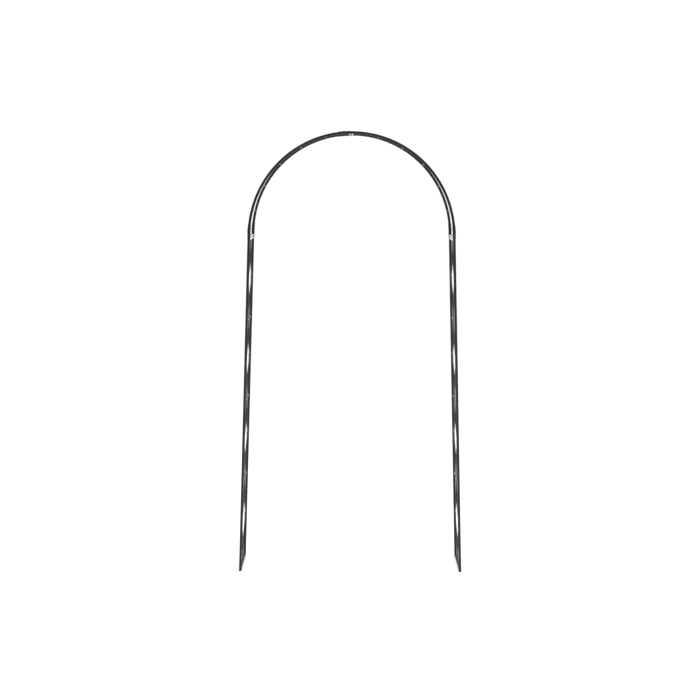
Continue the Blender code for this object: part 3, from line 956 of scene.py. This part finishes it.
plugLook = {
    "radius": 0.0085,
    "flange": 0.0025,
    "round": 0.0006,
    "stem": 0.0058,
    "stemLength": 0.014,
    "ribs": 3,
    "ribDepth": 0.0004,
    "ribHeights": (0.0008, -0.0002, -0.0004),       # start, ridge and end, from the rib's middle
    "dish": 0.0004,                 # hollow in the underside
    "sides": 48,
}


def plugProfile():                  # (radius, height) pairs from the top down
    look = plugLook
    top = look["flange"] + look["stemLength"]
    valley = look["stem"] - look["ribDepth"]
    start, ridge, end = look["ribHeights"]
    profile = [(0.0, top), (look["stem"] - look["round"], top), (valley, top - look["round"])]
    gap = (look["stemLength"] - look["round"]) / (look["ribs"] + 1)
    for i in range(1, look["ribs"] + 1):
        middle = top - look["round"] - gap * i
        profile += [(valley, middle + start), (look["stem"], middle + ridge), (valley, middle + end)]
    profile.append((valley, look["flange"]))
    for i in range(7):
        angle = math.pi / 2 * i / 6
        profile.append((look["radius"] - look["round"] * (1 - math.sin(angle)),
                        look["flange"] - look["round"] * (1 - math.cos(angle))))
    for i in range(5):
        angle = math.pi / 2 * i / 4
        profile.append((look["radius"] - look["round"] / 2 * (1 - math.cos(angle)),
                        look["round"] / 2 * (1 - math.sin(angle))))
    profile += [(look["radius"] * 0.6, 0.0), (look["radius"] * 0.5, look["dish"]), (0.0, look["dish"])]
    return profile


def makePlugs():
    master = linkNew("plugMaster", turnedMesh("plugMaster", plugProfile(), plugLook["sides"]))
    places, nodes = [], []
    for sideName, side in sideSigns.items():
        for hoopName, sign in hoopSigns.items():
            places.append(Matrix.Translation(hoopPoint(side, 0.0, sign * halfDepth)))
            nodes.append(f"{sideName}_leg_{hoopName}_foot_plug")
    carrier = pointCarrier("plugPoints", places)
    addNodes(carrier, setTree, {"Piece": master, "Finish": finishes["plugPlastic"]})
    piece = asPlainMesh(carrier, "footPlugs", 30.0)
    bpy.data.objects.remove(master, do_unlink=True)
    keepPiece(piece, nodes)
    print("foot plugs made")


makeTubes()
makeRungs()
makeRods()
makeBeads()
makeTacks()
makeScrews()
makePlugs()


# camera, floor and light

cameraLook = {
    "lens": 83.05,
    "place": (-0.0058, -8.8935, 2.155),
    "down": 6.1,                    # degrees below level
    "roll": 0.25,
}
floorLook = {"width": 60.0, "colour": (0.95, 0.95, 0.95), "glow": 0.32}
lightLook = {
    "backdrop": 1.05,
    "ahead": 0.45,                  # brightness of the room in front of the arch, for all but the backdrop
    "behind": 1.0,
    "key": {"place": (-3.2, -4.5, 5.2), "size": 3.5, "power": 60.0},
    "fill": {"place": (3.8, -3.5, 3.4), "size": 4.0, "power": 25.0},
    "top": {"place": (0.3, 1.0, 6.5), "size": 4.5, "power": 70.0},
    "aim": (0.0, 0.0, 1.2),
}


def makeCamera():
    data = bpy.data.cameras.new("camera")
    data.lens = cameraLook["lens"]
    data.sensor_width = 36.0
    data.clip_end = 200.0
    camera = bpy.data.objects.new("camera", data)
    bpy.context.scene.collection.objects.link(camera)
    camera.matrix_world = (Matrix.Translation(cameraLook["place"])
                           @ Matrix.Rotation(math.radians(90 - cameraLook["down"]), 4, "X")
                           @ Matrix.Rotation(math.radians(cameraLook["roll"]), 4, "Z"))
    bpy.context.scene.camera = camera


def makeFloor():
    mesh = bpy.data.meshes.new("floor")
    half = floorLook["width"] / 2
    mesh.from_pydata([(-half, -half, 0.0), (half, -half, 0.0), (half, half, 0.0), (-half, half, 0.0)], [],
                     [(0, 1, 2, 3)])
    floor = linkNew("floor", mesh)
    material, tree, shader = newMaterial("paleFloor")
    shader.inputs["Roughness"].default_value = 0.9
    shader.inputs["Specular IOR Level"].default_value = 0.1
    shader.inputs["Emission Color"].default_value = (1.0, 1.0, 1.0, 1.0)
    shader.inputs["Emission Strength"].default_value = floorLook["glow"]
    coords = tree.nodes.new("ShaderNodeTexCoord").outputs["Object"]
    tone = rangeNode(tree, noiseNode(tree, coords, 3.0, 3.0, 0.5), 0.3, 0.7, 0.0, 1.0)
    bright = floorLook["colour"]
    tree.links.new(colourMix(tree, tone, tuple(value * 0.995 for value in bright), bright),
                   shader.inputs["Base Color"])
    mesh.materials.append(material)


def makeLights():
    world = bpy.data.worlds.new("studio")
    world.use_nodes = True
    tree = world.node_tree
    background = tree.nodes["Background"]
    background.inputs["Color"].default_value = (1.0, 1.0, 1.0, 1.0)
    direction = tree.nodes.new("ShaderNodeSeparateXYZ")
    tree.links.new(tree.nodes.new("ShaderNodeTexCoord").outputs["Generated"], direction.inputs[0])
    room = rangeNode(tree, direction.outputs["Y"], -0.6, 0.4, lightLook["ahead"], lightLook["behind"])
    seen = tree.nodes.new("ShaderNodeLightPath").outputs["Is Camera Ray"]
    strength = tree.nodes.new("ShaderNodeMix")
    tree.links.new(seen, strength.inputs["Factor"])
    tree.links.new(room, strength.inputs[2])
    strength.inputs[3].default_value = lightLook["backdrop"]
    tree.links.new(strength.outputs[0], background.inputs["Strength"])
    bpy.context.scene.world = world
    for name in ("key", "fill", "top"):
        look = lightLook[name]
        data = bpy.data.lights.new(name, "AREA")
        data.shape = "DISK"
        data.size = look["size"]
        data.energy = look["power"]
        lamp = bpy.data.objects.new(name, data)
        bpy.context.scene.collection.objects.link(lamp)
        lamp.location = look["place"]
        aim = Vector(lightLook["aim"]) - Vector(look["place"])
        lamp.rotation_euler = aim.to_track_quat("-Z", "Y").to_euler()


makeCamera()
makeFloor()
makeLights()
bpy.context.scene.view_settings.view_transform = "Standard"
print("camera, floor and light made")
